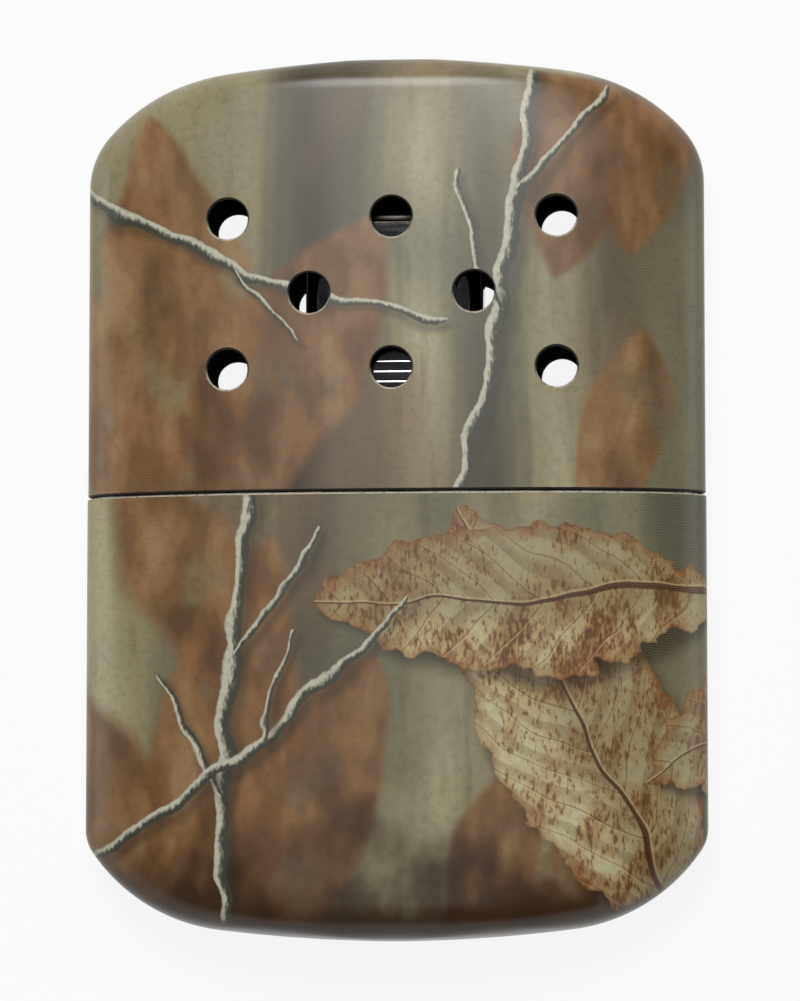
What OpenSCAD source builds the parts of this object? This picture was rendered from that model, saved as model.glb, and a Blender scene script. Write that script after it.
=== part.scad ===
// Catalytic hand warmer, lying on its back. X runs across its width, Y from the tank's end to
// the cover's end, Z from the back face to the printed front face. The origin is the middle of
// its outline on the surface it rests on. "Rise" is a distance along Y from the seam, positive
// towards the cover. "Inset" is a distance in from the outer skin.

/* [Outer body] */
// Width of the body
body_w = 68; // [62:0.5:76]
// Thickness of the body, front to back
body_d = 13; // [12.5:0.5:16]
// Length of the upper cover, from the seam to its end
cover_l = 48.1; // [45:0.1:60]
// Length of the lower case, from the seam to its end
case_l = 48.4; // [40:0.4:60]
// Sheet thickness of the upper cover and the lower case
wall = 0.5; // [0.4:0.05:0.7]
// How far the cover's skin lies inside the case's
cover_step = 0.08; // [0:0.02:0.14]
// Gap between the rims of the cover and the case when shut
seam_gap = 0.12; // [0.05:0.01:0.3]
// Exponent of the body's cross-section, 2 being an ellipse
bulge = 2.2; // [2:0.1:3]
// Width of the flat strip down the middle of each face
flat_w = 8; // [4:1:14]
// Rounding from each face to the ends
end_round = 3.6; // [2.5:0.1:4.5]

/* [Outline of the ends] */
// Radius of the gentle arch across each end
arch_r = 155; // [100:1:220]
// Radius of the big corner arcs
corner_r = 19.8; // [16:0.1:22]
// Distance of the corner arcs' centres in from the sides
corner_in = 17.1; // [15:0.1:18]
// Radius where the sides of the cover turn into its corners
cover_shoulder_r = 8.8; // [6:0.1:10]
// Radius where the sides of the case turn into its corners
case_shoulder_r = 4.5; // [3:0.1:8]

/* [Vent holes] */
// Radius of a vent hole
vent_r = 2.22; // [1.5:0.02:2.6]
// Distance between neighbouring holes in a row
vent_pitch_x = 18.04; // [14:0.02:20]
// Distance between rows
vent_pitch_y = 8.28; // [6:0.02:9]
// Rise of the middle row
vent_rise = 21.9; // [20:0.1:26]

/* [Tank insert] */
// Length of the collar that the cover slides over
collar_l = 8.4; // [5:0.2:9]
// Length of the insert's skirt inside the case
skirt_l = 6; // [3:0.5:12]
// Sheet thickness of the insert
collar_wall = 0.4; // [0.3:0.05:0.6]
// Gap between the collar and the inside of the cover
cover_fit = 0.15; // [0.12:0.01:0.3]
// Rounding from the collar to its deck
deck_round = 1.4; // [0.8:0.1:1.5]

/* [Filler neck] */
// Height of the neck above the deck
neck_l = 4.2; // [3:0.1:5]
// Depth of the neck below the deck
neck_sink = 2; // [1:0.1:3]
// Wall of the neck
neck_wall = 0.45; // [0.3:0.05:0.6]
// Width of the flange under the deck, at each side of the neck
flange_w = 1.5; // [0.8:0.1:2.5]
// Thickness of the flange
flange_t = 0.4; // [0.3:0.1:0.8]
// Gap all round between the neck and the burner that plugs onto it
neck_fit = 0.08; // [0.03:0.01:0.1]

/* [Burner] */
// Width of the burner's housing
burner_w = 19.5; // [17:0.1:22]
// Room between the burner's housing and the inside of the cover, front and back
burner_room = 1.62; // [1.2:0.02:2.2]
// Length of the burner's housing
burner_l = 17.2; // [15:0.1:20]
// Radius of the burner's upright edges
burner_r = 2.6; // [2:0.1:3]
// Sheet thickness of the burner
burner_wall = 0.4; // [0.3:0.05:0.5]
// Height of the raised panel in the burner's lid
lid_panel_h = 1; // [0.5:0.1:2]
// Border round the raised panel
lid_border = 0.9; // [0.6:0.1:1.4]
// Gap between the burner and the deck
burner_seat = 0.2; // [0.1:0.05:0.3]
// Length of the band round the burner's foot
band_l = 6; // [5:0.1:7.5]
// Gap between the neck's mouth and the foot of the housing
mouth_gap = 0.3; // [0.2:0.05:0.6]
// Width of a burner window
window_w = 12.4; // [10:0.1:13]
// Length of a burner window
window_l = 10; // [8:0.1:11]
// Corner radius of a burner window
window_r = 1.4; // [0.8:0.1:2]
// Distance from the housing's foot to its windows
window_rise = 4.6; // [4:0.1:5]
// How far a screen runs under the frame of its window
screen_lap = 0.7; // [0.4:0.1:0.9]
// Thickness of a screen
screen_t = 0.4; // [0.3:0.05:0.5]
// Width of a screen's wires
wire_w = 0.3; // [0.2:0.05:0.4]
// Number of screen openings across
screen_cols = 10; // [6:1:14]
// Number of screen openings along
screen_rows = 8; // [5:1:12]
// Rounding of the catalyst pad's edges
pad_round = 0.8; // [0.4:0.1:1.2]

/* [Filling] */
// Gap between the batting and the metal round it
batting_fit = 0.3; // [0.2:0.05:0.4]
// Thickness of the gauze pad
gauze_t = 0.6; // [0.4:0.1:1]

/* [Hidden] */

// Steps of a quarter cross-section, of the arcs of the outline and of the rounding to the deck
quarter_steps = 14;
shoulder_steps = 4;
corner_steps = 8;
arch_steps = 5;
deck_arc_steps = 5;
// Overshoot of a cut past the face it goes through
over = 1;
round_fn = 48;

half_w = body_w / 2;
half_d = body_d / 2;
corner_x = half_w - corner_in;
seam_y = (case_l - cover_l) / 2;

cover_inner = cover_step + wall;
collar_inset = cover_inner + cover_fit;
collar_bore = collar_inset + collar_wall;
skirt_bore = wall + collar_wall;
batting_inset = wall + batting_fit;
batting_neck_inset = max(skirt_bore, collar_bore) + batting_fit;

burner_d = body_d - 2 * (cover_inner + burner_room);
neck_w = burner_w - 2 * neck_fit;
neck_d = burner_d - 2 * neck_fit;
neck_r = burner_r - neck_fit;
neck_top = collar_l + neck_l;
deck_under = collar_l - collar_wall;
neck_foot = deck_under - neck_sink;

band_foot = collar_l + burner_seat;
shell_foot = neck_top + mouth_gap;
shell_l = burner_l - burner_wall;
lid_foot = shell_foot + shell_l;
window_foot = shell_foot + window_rise;
screen_w = window_w + 2 * screen_lap;
screen_l = window_l + 2 * screen_lap;
screen_foot = window_foot - screen_lap;
shell_inner_z = burner_d / 2 - burner_wall;
pad_z = shell_inner_z - screen_t;

gauze_top = neck_foot;
batting_top = gauze_top - gauze_t;
batting_step = -skirt_l - batting_fit;

// Centre height and limits of one end's arcs, for an end at rise "l", with shoulder radius "s".
// Every arc keeps its centre when the skin is inset, so only the radii change.
function arch_cy(l) = l - arch_r;
function corner_cy(l) = arch_cy(l) + sqrt(pow(arch_r - corner_r, 2) - pow(corner_x, 2));
function shoulder_cx(s) = half_w - s;
function shoulder_cy(l, s) =
    corner_cy(l) + sqrt(pow(corner_r - s, 2) - pow(shoulder_cx(s) - corner_x, 2));
function shoulder_angle(l, s) = atan2(shoulder_cx(s) - corner_x, shoulder_cy(l, s) - corner_cy(l));
function arch_angle(l) = atan2(corner_x, corner_cy(l) - arch_cy(l));

// Stations along one half outline, each [half width, rise], from the seam to near the apex
function arc_station(cx, cy, r, angle) = [cx + r * sin(angle), cy + r * cos(angle)];
function outline(l, s, inset, start) = concat(
    [[half_w - inset, start]],
    [for (i = [0 : shoulder_steps - 1])
        arc_station(shoulder_cx(s), shoulder_cy(l, s), s - inset,
                    90 - (90 - shoulder_angle(l, s)) * i / shoulder_steps)],
    [for (i = [0 : corner_steps - 1])
        arc_station(corner_x, corner_cy(l), corner_r - inset,
                    shoulder_angle(l, s) + (arch_angle(l) - shoulder_angle(l, s)) * i / corner_steps)],
    [for (i = [0 : arch_steps - 1])
        arc_station(0, arch_cy(l), arch_r - inset, arch_angle(l) * pow(1 - i / arch_steps, 1.5))]);

// Half thickness at a rise, falling by the end rounding over the last stretch
function half_depth(l, rise, inset) =
    let (past = max(0, rise - (l - end_round)), r = end_round - inset)
    half_d - end_round + sqrt(max(0, pow(r, 2) - pow(past, 2)));

// One quarter of a cross-section, from the side edge to the edge of the flat strip
function flat_edge(w) = min(flat_w / 2, w / 2);
function quarter(w, d) = [for (i = [0 : quarter_steps])
    let (a = 90 * i / quarter_steps)
    [flat_edge(w) + (w - flat_edge(w)) * pow(cos(a), 2 / bulge), d * pow(sin(a), 2 / bulge)]];

// Closed cross-section of half width w and half depth d, as [x, z] pairs
function section(w, d) = let (q = quarter(w, d), n = quarter_steps) concat(
    q,
    [for (i = [n : -1 : 0]) [-q[i][0], q[i][1]]],
    [for (i = [1 : n]) [-q[i][0], -q[i][1]]],
    [for (i = [n : -1 : 1]) [q[i][0], -q[i][1]]]);

// The same cross-section as points in space, at a rise
function ring(w, d, rise) = [for (p = section(w, d)) [p[0], rise, p[1]]];
function end_rings(l, s, inset, start) = [for (p = outline(l, s, inset, start))
    ring(p[0], half_depth(l, p[1], inset), p[1])];

// Skin through a list of rings, closed by a flat face at each end
module skin(rings) {
    n = len(rings[0]);
    last = len(rings) - 1;
    sides = [for (k = [0 : last - 1], i = [0 : n - 1])
        let (a = k * n + i, b = k * n + (i + 1) % n)
        each [[a, b, b + n], [a, b + n, a + n]]];
    first_face = [[for (i = [n - 1 : -1 : 0]) i]];
    last_face = [[for (i = [0 : n - 1]) last * n + i]];
    polyhedron(points = [for (r = rings) each r], faces = concat(sides, first_face, last_face));
}

// Thin drawn shell, open at the seam: out along its skin, back along its inside
module shell(l, s, inset, start) {
    rings = concat(end_rings(l, s, inset, start), reversed(end_rings(l, s, inset + wall, start)));
    n = len(rings[0]);
    last = len(rings) - 1;
    turn = len(rings) / 2 - 1;
    sides = [for (k = [0 : last], i = [0 : n - 1])
        if (k != turn)
            let (a = k * n + i, b = k * n + (i + 1) % n, next = (k + 1) % (last + 1) * n,
                 c = next + (i + 1) % n, e = next + i)
            each [[a, b, c], [a, c, e]]];
    outer_tip = [[for (i = [0 : n - 1]) turn * n + i]];
    inner_tip = [[for (i = [n - 1 : -1 : 0]) (turn + 1) * n + i]];
    polyhedron(points = [for (r = rings) each r], faces = concat(sides, outer_tip, inner_tip));
}
function reversed(list) = [for (i = [len(list) - 1 : -1 : 0]) list[i]];

// Places a child that is drawn at the seam's middle, so that the body rests on Z = 0
module at_seam() {
    translate([0, seam_y, half_d]) children();
}

// Mirrors an end that is drawn towards the cover to the case's side
module towards_case() {
    mirror([0, 1, 0]) children();
}

// Extrudes an outline, drawn across the body, along Y from a rise
module extrude_along(rise, l) {
    translate([0, rise, 0]) rotate([90, 0, 0]) mirror([0, 0, 1]) linear_extrude(l) children();
}

// Outline of the body's cross-section at an inset
module body_section(inset) {
    polygon(section(half_w - inset, half_d - inset));
}

module round_rect(w, d, r) {
    square([w - 2 * r, d], center = true);
    square([w, d - 2 * r], center = true);
    for (x = [-1, 1], y = [-1, 1])
        translate([x * (w / 2 - r), y * (d / 2 - r)]) circle(r = r, $fn = round_fn);
}

module round_rect_ring(w, d, r, t) {
    difference() {
        round_rect(w, d, r);
        round_rect(w - 2 * t, d - 2 * t, r - t);
    }
}

// Columns of the vent pattern: three, two, three
vents = [for (row = [-1 : 1], col = row == 0 ? [-0.5, 0.5] : [-1, 0, 1])
    [col * vent_pitch_x, vent_rise + row * vent_pitch_y]];

module upper_cover() color([0.49, 0.47, 0.37]) at_seam() {
    difference() {
        shell(cover_l + cover_step, cover_shoulder_r, cover_step, seam_gap);
        for (p = vents)
            translate([p[0], p[1], -half_d - over]) cylinder(r = vent_r, h = body_d + 2 * over, $fn = 48);
    }
}

module lower_case() color([0.5, 0.46, 0.35]) at_seam() {
    towards_case() shell(case_l, case_shoulder_r, 0, 0);
}

// Rings of the collar's outside and of its bore, rounded over to the deck
function collar_rings() = concat(
    [ring(half_w - collar_inset, half_d - collar_inset, 0)],
    [for (i = [0 : deck_arc_steps])
        let (a = 90 * i / deck_arc_steps, inset = collar_inset + deck_round * (1 - cos(a)))
        ring(half_w - inset, half_d - inset, collar_l - deck_round * (1 - sin(a)))]);
function collar_bore_rings() = concat(
    [ring(half_w - collar_bore, half_d - collar_bore, -over)],
    [for (i = [0 : deck_arc_steps])
        let (a = 90 * i / deck_arc_steps, r = deck_round - collar_wall, inset = collar_bore + r * (1 - cos(a)))
        ring(half_w - inset, half_d - inset, deck_under - r * (1 - sin(a)))]);

module tank_collar() color([0.72, 0.72, 0.74]) at_seam() {
    difference() {
        skin(collar_rings());
        skin(collar_bore_rings());
        extrude_along(deck_under - over, collar_wall + 2 * over) round_rect(neck_w, neck_d, neck_r);
    }
    extrude_along(-skirt_l, skirt_l) difference() {
        body_section(wall);
        body_section(skirt_bore);
    }
}

module filler_neck() color([0.75, 0.72, 0.62]) at_seam() {
    extrude_along(neck_foot, neck_top - neck_foot) round_rect_ring(neck_w, neck_d, neck_r, neck_wall);
    extrude_along(deck_under - flange_t, flange_t) difference() {
        round_rect(neck_w + 2 * flange_w, neck_d, neck_r);
        round_rect(neck_w - 2 * neck_wall, neck_d - 2 * neck_wall, neck_r - neck_wall);
    }
}

module batting() color([0.93, 0.91, 0.86]) at_seam() {
    // One wad: full in the tank, drawn in where the insert's skirt goes round it
    towards_case() skin(concat(
        [ring(half_w - batting_neck_inset, half_d - batting_neck_inset, -batting_top),
         ring(half_w - batting_neck_inset, half_d - batting_neck_inset, -batting_step - over)],
        end_rings(case_l, case_shoulder_r, batting_inset, -batting_step)));
}

module gauze_pad() color([0.95, 0.94, 0.9]) at_seam() {
    extrude_along(batting_top, gauze_t) round_rect(neck_w, neck_d, neck_r);
}

module burner_band() color([0.8, 0.8, 0.82]) at_seam() {
    extrude_along(band_foot, band_l)
        round_rect_ring(burner_w + 2 * burner_wall, burner_d + 2 * burner_wall, burner_r + burner_wall, burner_wall);
}

// Half of the burner's housing, on the +Z side, with its window
module burner_half() {
    difference() {
        extrude_along(shell_foot, shell_l) intersection() {
            round_rect_ring(burner_w, burner_d, burner_r, burner_wall);
            translate([-burner_w, 0]) square([2 * burner_w, burner_d]);
        }
        translate([0, window_foot + window_l / 2, 0])
            linear_extrude(burner_d) round_rect(window_w, window_l, window_r);
    }
}

module burner_shell_front() color([0.74, 0.74, 0.76]) at_seam() {
    burner_half();
}

module burner_shell_back() color([0.74, 0.74, 0.76]) at_seam() {
    mirror([0, 0, 1]) burner_half();
}

// Outline of the lid's raised panel, drawn in by a margin
module lid_panel(margin) {
    round_rect(burner_w - 2 * margin, burner_d - 2 * margin, burner_r - margin);
}

module burner_top() color([0.7, 0.7, 0.72]) at_seam() {
    difference() {
        union() {
            extrude_along(lid_foot, burner_wall) lid_panel(0);
            extrude_along(lid_foot, lid_panel_h + burner_wall) lid_panel(lid_border);
        }
        extrude_along(lid_foot - over, lid_panel_h + over) lid_panel(lid_border + burner_wall);
    }
}

// Woven screen as a grid of flat wires, on the +Z side
module screen() {
    step_x = (screen_w - wire_w) / screen_cols;
    step_y = (screen_l - wire_w) / screen_rows;
    translate([0, screen_foot, shell_inner_z - screen_t]) linear_extrude(screen_t) {
        for (i = [0 : screen_cols]) translate([-screen_w / 2 + i * step_x, 0]) square([wire_w, screen_l]);
        for (j = [0 : screen_rows]) translate([-screen_w / 2, j * step_y]) square([screen_w, wire_w]);
    }
}

module screen_front() color([0.35, 0.35, 0.36]) at_seam() {
    screen();
}

module screen_back() color([0.35, 0.35, 0.36]) at_seam() {
    mirror([0, 0, 1]) screen();
}

module catalyst_pad() color([0.42, 0.41, 0.4]) at_seam() {
    translate([0, screen_foot + screen_l / 2, -pad_z])
        linear_extrude(2 * pad_z) round_rect(screen_w, screen_l, pad_round);
}

upper_cover();
lower_case();
tank_collar();
filler_neck();
batting();
gauze_pad();
burner_band();
burner_shell_front();
burner_shell_back();
burner_top();
screen_front();
screen_back();
catalyst_pad();
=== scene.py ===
import bisect
import math

import bmesh
import bpy
from mathutils import Matrix, Vector, noise


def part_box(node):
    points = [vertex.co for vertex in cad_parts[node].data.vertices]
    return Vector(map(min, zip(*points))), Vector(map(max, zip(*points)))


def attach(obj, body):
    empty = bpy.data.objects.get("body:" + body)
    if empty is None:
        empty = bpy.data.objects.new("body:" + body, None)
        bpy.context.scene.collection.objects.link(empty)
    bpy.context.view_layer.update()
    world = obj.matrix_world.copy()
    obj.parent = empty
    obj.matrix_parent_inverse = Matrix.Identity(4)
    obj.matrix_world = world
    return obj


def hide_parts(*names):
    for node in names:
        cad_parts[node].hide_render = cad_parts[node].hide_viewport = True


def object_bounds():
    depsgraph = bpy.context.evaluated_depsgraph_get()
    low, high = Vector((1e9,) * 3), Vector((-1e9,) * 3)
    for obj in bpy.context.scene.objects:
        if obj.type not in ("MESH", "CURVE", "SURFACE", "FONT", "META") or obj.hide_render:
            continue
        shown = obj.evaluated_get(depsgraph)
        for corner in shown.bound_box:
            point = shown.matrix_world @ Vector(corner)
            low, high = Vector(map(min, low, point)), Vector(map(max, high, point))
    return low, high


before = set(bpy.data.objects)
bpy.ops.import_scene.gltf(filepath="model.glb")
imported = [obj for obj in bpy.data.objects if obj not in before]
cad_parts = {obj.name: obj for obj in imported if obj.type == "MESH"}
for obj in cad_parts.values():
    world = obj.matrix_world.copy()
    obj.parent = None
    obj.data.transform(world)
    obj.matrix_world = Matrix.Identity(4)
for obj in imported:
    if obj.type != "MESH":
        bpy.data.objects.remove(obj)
cad_low, cad_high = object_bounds()

# ---- View and studio --------------------------------------------------------------------------
# The warmer lies on its back on a pale sweep and is seen almost square on from above, a little
# from its right side and from the tank's end, as in the photograph. Soft boxes stand round it.
MM = 0.001
seam_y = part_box("lower_case")[1][1]
mid_z = (cad_low.z + cad_high.z) / 2
seam_middle = Vector((0, seam_y, mid_z))

view_to_right = math.radians(4.6)
view_to_tank = math.radians(6.0)
view_distance = 620 * MM
pixels_per_m = 9127
image_long_side = 1001
seam_middle_offset = (-4.2, 2.7)  # pixels right of and above the image's middle
sensor_long_side = 36  # in millimetres, as the lens

towards_camera = Vector((
    math.sin(view_to_right) * math.cos(view_to_tank),
    -math.sin(view_to_tank),
    math.cos(view_to_right) * math.cos(view_to_tank),
))
camera_data = bpy.data.cameras.new("photo_camera")
camera_data.sensor_width = sensor_long_side
camera_data.lens = pixels_per_m * view_distance * sensor_long_side / image_long_side
camera_data.shift_x = -seam_middle_offset[0] / image_long_side
camera_data.shift_y = -seam_middle_offset[1] / image_long_side
camera_data.clip_start = 10 * MM
camera = bpy.data.objects.new("photo_camera", camera_data)
bpy.context.collection.objects.link(camera)
camera.location = seam_middle + towards_camera * view_distance
across_view = Vector((math.cos(view_to_right), 0, -math.sin(view_to_right)))
up_view = towards_camera.cross(across_view)
camera.rotation_mode = "QUATERNION"
camera.rotation_quaternion = Matrix((across_view, up_view, towards_camera)).transposed().to_quaternion()
bpy.context.scene.camera = camera
bpy.context.scene.view_settings.view_transform = "Standard"


def srgb(red, green, blue):
    """A colour written as on a screen, 0 to 255, as the linear colour that a shader takes."""
    linear = [((c / 255 + 0.055) / 1.055) ** 2.4 if c > 10 else c / 255 / 12.92 for c in (red, green, blue)]
    return (*linear, 1.0)


def new_material(name):
    """An empty material and its node tree."""
    material = bpy.data.materials.new(name)
    material.use_nodes = True
    material.node_tree.nodes.clear()
    return material, material.node_tree


def add_node(tree, kind, inputs=None, **settings):
    """Adds one node, sets its properties, and sets or links its inputs by name or number."""
    node = tree.nodes.new(kind)
    for key, value in settings.items():
        setattr(node, key, value)
    for key, value in (inputs or {}).items():
        if isinstance(value, bpy.types.NodeSocket):
            tree.links.new(value, node.inputs[key])
        else:
            node.inputs[key].default_value = value
    return node


def calc(tree, operation, *values):
    """One Math node on numbers or sockets."""
    return add_node(tree, "ShaderNodeMath", dict(enumerate(values)), operation=operation).outputs[0]


def vector_calc(tree, operation, *values):
    """One Vector Math node; a scale goes in by itself."""
    inputs = {3 if operation == "SCALE" and i == 1 else i: value for i, value in enumerate(values)}
    return add_node(tree, "ShaderNodeVectorMath", inputs, operation=operation).outputs[0]


def show_surface(tree, shader):
    """Makes a shader the material's surface."""
    add_node(tree, "ShaderNodeOutputMaterial", {"Surface": shader.outputs[0]})


def softbox(name, place, size, watts):
    """A rectangular lamp that faces the middle of the seam."""
    lamp = bpy.data.lights.new(name, "AREA")
    lamp.shape = "RECTANGLE"
    lamp.size, lamp.size_y = size
    lamp.energy = watts
    box = bpy.data.objects.new(name, lamp)
    box.location = Vector(place)
    box.rotation_mode = "QUATERNION"
    box.rotation_quaternion = (box.location - seam_middle).to_track_quat("Z", "Y")
    bpy.context.collection.objects.link(box)


softbox("key_past_the_cover", place=(-0.03, 0.42, 0.80), size=(0.34, 0.44), watts=6.2)
softbox("fill_left", place=(-0.80, 0.10, 0.34), size=(0.30, 0.40), watts=0.55)
softbox("fill_right", place=(0.80, 0.10, 0.34), size=(0.30, 0.40), watts=0.45)

world = bpy.data.worlds.new("studio")
bpy.context.scene.world = world
world.use_nodes = True
tree = world.node_tree
tree.nodes.clear()
room_strength = 0.05
dim_room = add_node(tree, "ShaderNodeBackground", {"Color": (1.0, 1.0, 1.0, 1.0), "Strength": room_strength})
add_node(tree, "ShaderNodeOutputWorld", {"Surface": dim_room.outputs[0]})

# The sweep: a round floor that turns up all round into a low wall, in pale paper
sweep_middle_r, sweep_floor_r = 1.2, 2.4
sweep_turn_r = 0.6
sweep_top = 1.5
sweep_sides = 64
sweep_white_share = 0.90  # how much of the paper is plain white to the camera, so that shadows stay soft
sweep_profile = [(sweep_middle_r, 0.0), (sweep_floor_r, 0.0)]
for degrees in range(15, 91, 15):
    a = math.radians(degrees)
    sweep_profile.append((sweep_floor_r + sweep_turn_r * math.sin(a), sweep_turn_r * (1 - math.cos(a))))
sweep_profile.append((sweep_floor_r + sweep_turn_r, sweep_top))
sweep_angles = [math.tau * i / sweep_sides for i in range(sweep_sides)]
sweep_mesh = bmesh.new()
sweep_rings = []
for radius, height in sweep_profile:
    ring = [(radius * math.cos(a), radius * math.sin(a), height) for a in sweep_angles]
    sweep_rings.append([sweep_mesh.verts.new(point) for point in ring])
sweep_mesh.faces.new(sweep_rings[0])
for lower, upper in zip(sweep_rings, sweep_rings[1:]):
    for i in range(sweep_sides):
        k = (i + 1) % sweep_sides
        sweep_mesh.faces.new((lower[i], lower[k], upper[k], upper[i]))
sweep_data = bpy.data.meshes.new("sweep")
sweep_mesh.to_mesh(sweep_data)
sweep_mesh.free()
sweep = bpy.data.objects.new("sweep", sweep_data)
bpy.context.collection.objects.link(sweep)
sweep_paper, tree = new_material("sweep_paper")
paper = add_node(tree, "ShaderNodeBsdfDiffuse", {"Color": (0.82, 0.82, 0.82, 1.0)})
glow = add_node(tree, "ShaderNodeEmission", {"Color": (1.0, 1.0, 1.0, 1.0), "Strength": 1.0})
ray = add_node(tree, "ShaderNodeLightPath").outputs
seen = calc(tree, "MAXIMUM", ray["Is Camera Ray"], ray["Is Glossy Ray"])
seen = calc(tree, "MAXIMUM", seen, ray["Is Transmission Ray"])
white = calc(tree, "MULTIPLY", seen, sweep_white_share)
show_surface(tree, add_node(tree, "ShaderNodeMixShader", {0: white, 1: paper.outputs[0], 2: glow.outputs[0]}))
sweep_data.materials.append(sweep_paper)

# ---- Lower case ---------------------------------------------------------------------------------
# The fuel tank's outer wall: one deep-drawn cup of thin sheet, oval in section, with a gently
# arched end. It is drawn to shape, printed with a woodland pattern and lacquered satin.
half_w = (cad_high.x - cad_low.x) / 2
half_d = (cad_high.z - cad_low.z) / 2
case_length = seam_y - cad_low.y
sheet = 0.5 * MM
flat_half = 4 * MM
bulge = 2.2
end_round = 3.6 * MM
arch_r = 155 * MM
corner_r = 19.8 * MM
corner_x = half_w - 17.1 * MM
case_shoulder_r = 4.5 * MM
apex_share = 0.2 ** 1.5  # where the arch's last station lies, as a share of its angle
map_unit = 100 * MM  # what one unit of the print map stands for


def column_at(x, w):
    """A line along the shell by its x on a section of half width w: its shares of flat, curve and depth."""
    if abs(x) <= flat_half:
        return x / flat_half, 0.0, 1.0
    share = min(1.0, (abs(x) - flat_half) / (w - flat_half))
    return math.copysign(1, x), math.copysign(share, x), (1 - share ** bulge) ** (1 / bulge)


def across(w, column):
    """The x of a column on a section of half width w."""
    edge = min(flat_half, w / 2)
    return column[0] * edge + column[1] * (w - edge)


def half_columns(step, last, edge_count):
    """Columns from a face's middle to its side edge: even in x up to last, then even in angle."""
    columns = [column_at(i * step, half_w) for i in range(round(last / step) + 1)]
    share = (last - flat_half) / (half_w - flat_half)
    first_angle = math.acos(share ** (bulge / 2))
    for i in range(1, edge_count + 1):
        angle = first_angle * (1 - i / edge_count)
        columns.append((1.0, math.cos(angle) ** (2 / bulge), abs(math.sin(angle)) ** (2 / bulge)))
    return columns


def whole_loop(columns):
    """The columns of a half face mirrored to a closed loop, over the front and back over the other face."""
    side = columns[1:]
    return ([*reversed(side), columns[0]] + [(-f, -c, s) for f, c, s in side]
            + [(-f, -c, -s) for f, c, s in reversed(side[:-1])] + [(0.0, 0.0, -1.0)]
            + [(f, c, -s) for f, c, s in side[:-1]])


def arc(centre_x, centre_y, radius, start, stop, count):
    """Stations on an arc, as half width and rise, with angles measured from the Y axis."""
    angles = [stop + (start - stop) * (1 - i / count) for i in range(count)]
    return [(centre_x + radius * math.sin(a), centre_y + radius * math.cos(a)) for a in angles]


def end_stations(length, shoulder_r, inset):
    """Half width and rise along a shell's curved end, from where its sides stop being straight."""
    arch_y = length - arch_r
    corner_y = arch_y + math.sqrt((arch_r - corner_r) ** 2 - corner_x ** 2)
    shoulder_x = half_w - shoulder_r
    shoulder_y = corner_y + math.sqrt((corner_r - shoulder_r) ** 2 - (shoulder_x - corner_x) ** 2)
    shoulder_angle = math.atan2(shoulder_x - corner_x, shoulder_y - corner_y)
    arch_angle = math.atan2(corner_x, corner_y - arch_y)
    apex_angle = arch_angle * apex_share
    return (arc(shoulder_x, shoulder_y, shoulder_r - inset, math.pi / 2, shoulder_angle, 8)
            + arc(corner_x, corner_y, corner_r - inset, shoulder_angle, arch_angle, 24)
            + arc(0, arch_y, arch_r - inset, arch_angle, apex_angle, 14)
            + arc(0, arch_y, arch_r - inset, apex_angle, 0, 1))


def depth_at(length, rise, inset):
    """Half the shell's depth at a rise, with its end rounded over."""
    past = max(0.0, rise - (length - end_round))
    return half_d - end_round + math.sqrt(max(0.0, (end_round - inset) ** 2 - past ** 2))


def run_along(points):
    """Distance along a line of points, at each of them."""
    runs = [0.0]
    for a, b in zip(points, points[1:]):
        runs.append(runs[-1] + math.dist(a, b))
    return runs


def look_up(value, keys, values):
    """The value that runs straight between those at the two nearest keys."""
    i = min(max(bisect.bisect_right(keys, value) - 1, 0), len(keys) - 2)
    share = (value - keys[i]) / (keys[i + 1] - keys[i])
    return values[i] + (values[i + 1] - values[i]) * share


def finished_mesh(name, mesh):
    """A mesh made into a piece, its faces smooth and turned outward."""
    bmesh.ops.recalc_face_normals(mesh, faces=mesh.faces)
    for face in mesh.faces:
        face.smooth = True
    data = bpy.data.meshes.new(name)
    mesh.to_mesh(data)
    mesh.free()
    piece = bpy.data.objects.new(name, data)
    bpy.context.collection.objects.link(piece)
    return piece


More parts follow.
